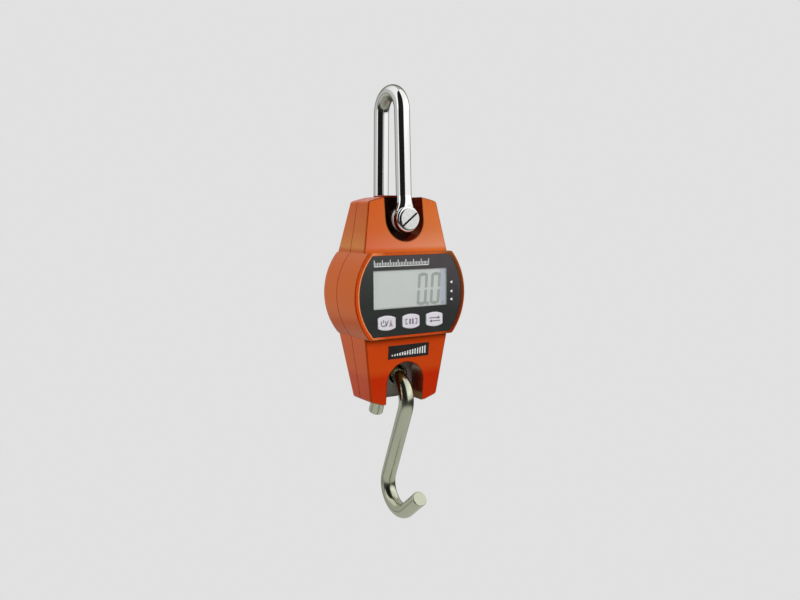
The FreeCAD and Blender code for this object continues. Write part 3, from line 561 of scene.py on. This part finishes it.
def addPlate(bm, outline, front, thickness):
    # a flat plate facing -Y from a few corner points (x, z)
    corners = [bm.verts.new((x, front + thickness, z)) for x, z in outline]
    face = bm.faces.new(corners)
    grown = bmesh.ops.extrude_face_region(bm, geom=[face])
    moved = [v for v in grown["geom"] if isinstance(v, bmesh.types.BMVert)]
    bmesh.ops.translate(bm, verts=moved, vec=(0, -thickness, 0))
    return corners + moved


def addBar(bm, x, z, width, height, front, thickness):
    # an upright plate about a middle
    w, h = width / 2, height / 2
    return addPlate(bm, [(x - w, z - h), (x + w, z - h), (x + w, z + h), (x - w, z + h)], front, thickness)


def addStroke(bm, first, last, width, front, thickness):
    # a slanted bar between two places (x, z)
    side = Vector((last[1] - first[1], first[0] - last[0])).normalized() * width / 2
    outline = [(first[0] - side.x, first[1] - side.y), (first[0] + side.x, first[1] + side.y),
               (last[0] + side.x, last[1] + side.y), (last[0] - side.x, last[1] - side.y)]
    return addPlate(bm, outline, front, thickness)


def addArc(bm, x, z, radius, width, front, thickness, start, turn, steps=24):
    # part of a flat ring, from a small rectangle spun about its centre, start measured from the top
    inner, outer = radius - width / 2, radius + width / 2
    first = Matrix.Translation((x, 0, z)) @ Matrix.Rotation(math.radians(start), 4, "Y")
    corners = [bm.verts.new(first @ Vector((0, y, r))) for r, y in (
        (inner, front), (outer, front), (outer, front + thickness), (inner, front + thickness))]
    face = bm.faces.new(corners)
    bmesh.ops.spin(bm, geom=[face], cent=(x, 0, z), axis=(0, 1, 0), angle=math.radians(turn), steps=steps,
                   use_merge=False)


digitLook = {
    "height": 17.6 * mm,
    "width": 6.4 * mm,
    "bar": 1.8 * mm,
    "gap": 0.2 * mm,
    "slant": 0.08,
    "places": (6.5 * mm, 15.0 * mm),
    "foot": -6.1 * mm,                # below the face's centre
    "point": 10.4 * mm,               # place of the point between them
    "mark": (20.0 * mm, 0.9 * mm),    # place and size of the small pointer beside the digits
    "thickness": 0.02 * mm,
}


def displayDigits():
    # two slanted zeros of six bars each, and the point between them
    look = digitLook
    bm = bmesh.new()
    front = glassLow.y - 2 * look["thickness"]
    width, height, bar, gap = look["width"], look["height"], look["bar"], look["gap"]
    half, tip = height / 2, bar / 2
    for place in look["places"]:
        for side in (-1, 1):
            x = place + side * (width - bar) / 2
            for low, high in ((gap, half - gap), (half + gap, height - gap)):
                outline = [(x, low), (x + tip, low + tip), (x + tip, high - tip), (x, high),
                           (x - tip, high - tip), (x - tip, low + tip)]
                addPlate(bm, outline, front, look["thickness"])
        for z in (tip, height - tip):
            left, right = place - width / 2 + tip + gap, place + width / 2 - tip - gap
            outline = [(left, z), (left + tip, z - tip), (right - tip, z - tip), (right, z),
                       (right - tip, z + tip), (left + tip, z + tip)]
            addPlate(bm, outline, front, look["thickness"])
    addBar(bm, look["point"], tip, bar, bar, front, look["thickness"])
    x, size = look["mark"]
    addPlate(bm, [(x - size, size), (x + size, 0), (x + size, 2 * size)], front, look["thickness"])
    shear = Matrix.Identity(4)
    shear[0][2] = look["slant"]
    bmesh.ops.transform(bm, matrix=Matrix.Translation((0, 0, faceZ + look["foot"])) @ shear, verts=bm.verts)
    return toPiece(bm, "display_digits", "digit", "scale_body")


borderLook = {
    "side": 1.15 * mm, "overlap": 0.1 * mm, "thickness": 0.03 * mm,
    "facing": 0.9,                    # a front or a back face has this much of Y in its normal
}


def windowBorder():
    # the black print round the clear part of the window
    look = borderLook
    bm = bmesh.new()
    centre = (windowLow + windowHigh) / 2
    width = windowHigh.x - windowLow.x + 2 * look["overlap"]
    height = windowHigh.z - windowLow.z + 2 * look["overlap"]
    front = windowLow.y - look["thickness"]
    addBar(bm, centre.x, centre.z, width, height, front, look["thickness"])
    bm.faces.ensure_lookup_table()
    facing = [f for f in bm.faces if abs(f.normal.y) > look["facing"]]
    bmesh.ops.inset_region(bm, faces=facing, thickness=look["side"] + look["overlap"], depth=0)
    middle = [f for f in bm.faces if abs(f.normal.y) > look["facing"]
              and f.calc_area() > width * height / 2]
    bmesh.ops.bridge_loops(bm, edges=[e for f in middle for e in f.edges])
    bmesh.ops.delete(bm, geom=middle, context="FACES_ONLY")
    return toPiece(bm, "window_border", "panel", "scale_body")


unitLook = {
    "x": 25.7 * mm, "rows": (5.6 * mm, 0.6 * mm, -3.9 * mm),
    "size": 0.85 * mm, "thickness": 0.03 * mm,
}


def unitMarks():
    # three pointers beside the display
    look = unitLook
    bm = bmesh.new()
    front = panelLow.y - look["thickness"]
    size = look["size"]
    for row in look["rows"]:
        x, z = look["x"], faceZ + row
        addPlate(bm, [(x - size, z), (x + size, z - size), (x + size, z + size)], front, look["thickness"])
    return toPiece(bm, "unit_marks", "mark", "scale_body")


headerLook = {
    "left": -23.2 * mm, "right": 10.8 * mm, "foot": 16.2 * mm,
    "long": 3.0 * mm, "short": 1.7 * mm,
    "count": 36, "each": 5,           # every fifth tick is a long one
    "width": 0.36 * mm, "thickness": 0.03 * mm,
}


def headerTicks():
    # a plain graduated rule above the display
    look = headerLook
    bm = bmesh.new()
    front = panelLow.y - look["thickness"]
    foot, width, length = faceZ + look["foot"], look["width"], look["right"] - look["left"]
    for index in range(look["count"]):
        tall = look["short"] if index % look["each"] else look["long"]
        x = look["left"] + index * length / (look["count"] - 1)
        addBar(bm, x, foot + tall / 2, width, tall, front, look["thickness"])
    middle = (look["left"] + look["right"]) / 2
    addBar(bm, middle, foot - width, length + width, width, front, look["thickness"])
    return toPiece(bm, "header_rule", "mark", "scale_body")


keyLook = {
    "line": 0.5 * mm,                 # width of the printed strokes
    "thickness": 0.02 * mm,
    "tall": 3.0 * mm, "wide": 7.0 * mm,
    "aside": 2.24 * mm,               # the power key's ring and arrow, from its middle
    "ring": 1.5 * mm, "ringGap": 35,  # radius, and degrees from the top to where it starts
    "stem": 1.65 * mm, "stemRise": 1.125 * mm,
    "slash": 0.75 * mm,               # to each side
    "shaft": 2.16 * mm, "shaftRise": 0.36 * mm,
    "headFrom": -0.24 * mm, "headTo": -1.2 * mm, "headHalf": 0.9 * mm,
    "ground": 2.4 * mm,               # the line below the arrow
    "pillar": 0.9 * mm, "pillarAside": 0.9 * mm,  # the hold key's two bars
    "bracket": 0.8 * mm, "bracketIn": 0.65 * mm,
    "level": 0.84 * mm,               # the unit key's arrows, from its middle
    "tip": 1.5 * mm, "tipHalf": 0.85 * mm,
}


def keyCentre(name):
    low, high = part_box(name)
    return (low.x + high.x) / 2, low.y - keyLook["thickness"], (low.z + high.z) / 2


def powerMark():
    # a broken ring with an upright, a slash, and an arrow down to a line
    look = keyLook
    x, front, z = keyCentre("power_key")
    line, thick, tall = look["line"], look["thickness"], look["tall"]
    bm = bmesh.new()
    ringX, arrowX = x - look["aside"], x + look["aside"]
    addArc(bm, ringX, z, look["ring"], line, front, thick, look["ringGap"], 360 - 2 * look["ringGap"])
    addBar(bm, ringX, z + look["stemRise"], line, look["stem"], front, thick)
    addStroke(bm, (x - look["slash"], z - tall / 2), (x + look["slash"], z + tall / 2), line, front, thick)
    addBar(bm, arrowX, z + look["shaftRise"], line, look["shaft"], front, thick)
    head = [(arrowX - look["headHalf"], z + look["headFrom"]), (arrowX, z + look["headTo"]),
            (arrowX + look["headHalf"], z + look["headFrom"])]
    addPlate(bm, head, front - thick, thick)
    addBar(bm, arrowX, z - tall / 2, look["ground"], line, front, thick)
    return toPiece(bm, "power_mark", "legend", "power_key")


def holdMark():
    # two upright bars between brackets
    look = keyLook
    x, front, z = keyCentre("hold_key")
    line, thick, tall = look["line"], look["thickness"], look["tall"]
    bm = bmesh.new()
    for side in (-1, 1):
        addBar(bm, x + side * look["pillarAside"], z, look["pillar"], tall, front, thick)
        end = x + side * look["wide"] / 2
        addBar(bm, end, z, line, tall, front, thick)
        for up in (-1, 1):
            foot = end - side * look["bracketIn"]
            addBar(bm, foot, z + up * (tall - line) / 2, look["bracket"], line, front, thick)
    return toPiece(bm, "hold_mark", "legend", "hold_key")


def unitMark():
    # two arrows, one each way
    look = keyLook
    x, front, z = keyCentre("unit_key")
    line, thick = look["line"], look["thickness"]
    bm = bmesh.new()
    for side in (-1, 1):
        level = z + side * look["level"]
        addBar(bm, x - side * line, level, look["wide"] - 2 * line, line, front, thick)
        tip = x + side * look["wide"] / 2
        root = tip - side * look["tip"]
        head = [(tip, level), (root, level - look["tipHalf"]), (root, level + look["tipHalf"])]
        addPlate(bm, head, front - thick, thick)
    return toPiece(bm, "unit_mark", "legend", "unit_key")


labelLook = {
    "x": 1.25 * mm, "drop": 31.35 * mm,  # its middle, below the face's centre
    "width": 26.1 * mm, "height": 7.5 * mm,
    "thickness": 0.25 * mm, "edge": 0.1 * mm, "edgeSteps": 2,
    "bars": 14, "barWidth": 0.8 * mm, "low": 0.8 * mm, "high": 4.2 * mm, "reach": 21.0 * mm,
    "print": 0.02 * mm,
}


def labelGround():
    # where the label lies on the lower flank, and how it leans there
    look = labelLook
    bpy.context.view_layer.update()
    start = Vector((look["x"], -far, faceZ - look["drop"]))
    spot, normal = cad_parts["front_housing"].ray_cast(start, Vector((0, 1, 0)))[1:3]
    return Matrix.Translation(spot) @ Matrix.Rotation(math.asin(-normal.z), 4, "X")


def labelPlate():
    look = labelLook
    bm = bmesh.new()
    addBar(bm, 0, 0, look["width"], look["height"], -look["thickness"], look["thickness"])
    bmesh.ops.recalc_face_normals(bm, faces=bm.faces)
    front = [e for e in bm.edges if all(v.co.y < -look["thickness"] / 2 for v in e.verts)]
    bmesh.ops.bevel(bm, geom=front, offset=look["edge"], offset_type="OFFSET", segments=look["edgeSteps"],
                    profile=0.5, affect="EDGES", material=-1)
    bmesh.ops.transform(bm, matrix=labelGround(), verts=bm.verts)
    return toPiece(bm, "label_plate", "label", "scale_body")


def labelPrint():
    # a row of rising bars
    look = labelLook
    bm = bmesh.new()
    front = -look["thickness"] - look["print"]
    for index in range(look["bars"]):
        share = index / (look["bars"] - 1)
        tall = look["low"] + (look["high"] - look["low"]) * share
        addBar(bm, (share - 0.5) * look["reach"], (tall - look["high"]) / 2, look["barWidth"], tall, front,
               look["print"])
    bmesh.ops.transform(bm, matrix=labelGround(), verts=bm.verts)
    return toPiece(bm, "label_print", "mark", "scale_body")


displayDigits()
windowBorder()
unitMarks()
headerTicks()
print("display and marks")
powerMark()
holdMark()
unitMark()
labelPlate()
labelPrint()
print("keys and label")


# Stage, light and camera
stageLook = {
    "pale": 0.7529,                   # what the camera sees of floor and background
    "floor": -0.5,
    "size": 8.0,
    "glow": 0.55,                     # what the object's gloss sees of the floor close by
    "farGlow": 0.04,
    "glowFrom": 0.50, "glowTo": 0.95,  # where it fades, from the middle
    "leftFrom": 0.75, "leftTo": 0.95,  # where the floor takes the glow of the room's left side
    "matt": 0.30,                     # share of it that lights the matt surfaces
}

skyLook = {
    "darkWay": (-0.7468, -0.6651, 0.0),  # the dark side of the room, left of the camera
    "darkFrom": 0.743, "darkTo": 0.799,  # cosine of the turn from there
    "dark": 0.012,
    "steps": (                           # brightness by height, -1 straight down to 1 straight up
        (-0.30, 0.05), (-0.17, 0.12), (-0.10, 0.50), (-0.05, 0.85), (0.13, 0.92), (0.20, 1.3),
        (0.45, 1.15), (0.80, 0.90), (1.0, 1.00),
    ),
    "backWay": (0.5271, 0.8498, 0.0),    # behind the object, greyer
    "backFrom": 0.72, "backTo": 0.82,
    "back": 0.45,
    "leftWay": (-0.533, 0.846, 0.0),     # what the object's left side mirrors
    "leftFrom": 0.60, "leftTo": 0.85,
    "left": 0.50,                        # the same from the floor up to where the ceiling glows
    "ceiling": 0.85, "ceilingFrom": 0.35, "ceilingTo": 0.60,
    "matt": 0.40,                        # share of it that lights the matt surfaces
}


def pathSwitch(tree, seen, other, matt):
    # one brightness for the camera, another for gloss, and a share of that for matt surfaces
    path = addNode(tree, "ShaderNodeLightPath").outputs
    share = addRange(tree, path["Is Diffuse Ray"], 0.0, 1.0, 1.0, matt)
    other = addMath(tree, "MULTIPLY", other, share)
    return addMix(tree, "MIX", path["Is Camera Ray"], other, (seen, seen, seen, 1.0))


def towards(tree, way, side, elsewhere, there):
    # a value in one side of the room and another elsewhere
    look = skyLook
    flat = addVectorMath(tree, "MULTIPLY", way, (1, 1, 0))["Vector"]
    flat = addVectorMath(tree, "NORMALIZE", flat)["Vector"]
    turn = addVectorMath(tree, "DOT_PRODUCT", flat, look[side + "Way"])["Value"]
    return addRange(tree, turn, look[side + "From"], look[side + "To"], elsewhere, there, "SMOOTHSTEP")


def floorPaper():
    # a glowing paper: plain for the camera, a pale patch under the object for its gloss
    look = stageLook
    material = bpy.data.materials.new("floor_paper")
    material.use_nodes = True
    tree = material.node_tree
    tree.nodes.clear()
    place = addNode(tree, "ShaderNodeTexCoord").outputs["Object"]
    reach = addReach(tree, *addParts(tree, place)[:2])
    near = addRange(tree, reach, look["glowFrom"], look["glowTo"], look["glow"], look["farGlow"],
                    "SMOOTHSTEP")
    left = addRange(tree, reach, look["leftFrom"], look["leftTo"], 0.0, skyLook["left"], "SMOOTHSTEP")
    left = addMath(tree, "MULTIPLY", left, towards(tree, place, "left", 0.0, 1.0))
    near = addMath(tree, "MAXIMUM", near, left)
    glow = addNode(tree, "ShaderNodeEmission")
    feed(tree, glow.inputs["Color"], pathSwitch(tree, look["pale"], near, look["matt"]))
    out = addNode(tree, "ShaderNodeOutputMaterial")
    feed(tree, out.inputs["Surface"], glow.outputs["Emission"])
    return material


def makeFloor():
    look = stageLook
    bm = bmesh.new()
    bmesh.ops.create_grid(bm, x_segments=1, y_segments=1, size=look["size"] / 2)
    bmesh.ops.translate(bm, verts=bm.verts, vec=(0, 0, look["floor"]))
    mesh = bpy.data.meshes.new("floor")
    bm.to_mesh(mesh)
    bm.free()
    floor = bpy.data.objects.new("floor", mesh)
    bpy.context.scene.collection.objects.link(floor)
    mesh.materials.append(floorPaper())


def makeWorld():
    # a pale studio with one dark side
    look = skyLook
    world = bpy.data.worlds.new("studio")
    bpy.context.scene.world = world
    world.use_nodes = True
    tree = world.node_tree
    way = addNode(tree, "ShaderNodeTexCoord").outputs["Generated"]
    height = addParts(tree, way)[2]
    steps = [((place + 1) / 2, (bright, bright, bright)) for place, bright in look["steps"]]
    sky = addRamp(tree, addRange(tree, height, -1.0, 1.0, 0.0, 1.0), steps)
    for side in ("dark", "back"):
        sky = addMath(tree, "MULTIPLY", sky, towards(tree, way, side, 1.0, look[side]))
    sky = addMath(tree, "MULTIPLY", sky, towards(tree, way, "left", 1.0, 0.0))
    left = addRange(tree, height, look["ceilingFrom"], look["ceilingTo"], look["left"], look["ceiling"],
                    "SMOOTHSTEP")
    left = addMath(tree, "MULTIPLY", left, towards(tree, way, "left", 0.0, 1.0))
    sky = addMath(tree, "ADD", sky, left)
    background = tree.nodes["Background"]
    feed(tree, background.inputs["Color"], pathSwitch(tree, stageLook["pale"], sky, look["matt"]))


lampLooks = {
    "key": {"place": (0.05, -0.70, 0.25), "size": 0.4, "power": 5.0},
    "fill": {"place": (-0.65, -0.1, 0.15), "size": 0.5, "power": 3.2},
    "rear": {"place": (0.25, 0.65, 0.25), "size": 0.5, "power": 4.5},
}
lampAim = (0.0, 0.0, -0.11)


def makeLamps():
    for name, look in lampLooks.items():
        lamp = bpy.data.lights.new(name, "AREA")
        lamp.energy = look["power"]
        lamp.size = look["size"]
        light = bpy.data.objects.new(name, lamp)
        bpy.context.scene.collection.objects.link(light)
        light.location = look["place"]
        aim = Vector(lampAim) - light.location
        light.rotation_euler = aim.to_track_quat("-Z", "Y").to_euler()
        light.visible_glossy = False


cameraLook = {
    "place": (-0.22804, -0.37528, -0.06199),
    "turn": -31.806,                  # degrees from straight at the face
    "tilt": -6.153,
    "roll": -0.356,
    "lens": 35.57, "sensor": 36.0,
    "nearest": 0.01,
}


def makeCamera():
    look = cameraLook
    turn, tilt, roll = (math.radians(look[key]) for key in ("turn", "tilt", "roll"))
    ahead = Vector((-math.sin(turn) * math.cos(tilt), math.cos(turn) * math.cos(tilt), math.sin(tilt)))
    level = Vector((math.cos(turn), math.sin(turn), 0))
    upright = level.cross(ahead)
    right = math.cos(roll) * level + math.sin(roll) * upright
    up = -math.sin(roll) * level + math.cos(roll) * upright
    camera = bpy.data.objects.new("camera", bpy.data.cameras.new("camera"))
    bpy.context.scene.collection.objects.link(camera)
    camera.data.sensor_width = look["sensor"]
    camera.data.lens = look["lens"]
    camera.data.clip_start = look["nearest"]
    turned = Matrix((right, up, -ahead)).transposed().to_4x4()
    camera.matrix_world = Matrix.Translation(look["place"]) @ turned
    bpy.context.scene.camera = camera


makeFloor()
makeWorld()
makeLamps()
makeCamera()
bpy.context.scene.view_settings.view_transform = "Standard"
print("stage, light and camera")
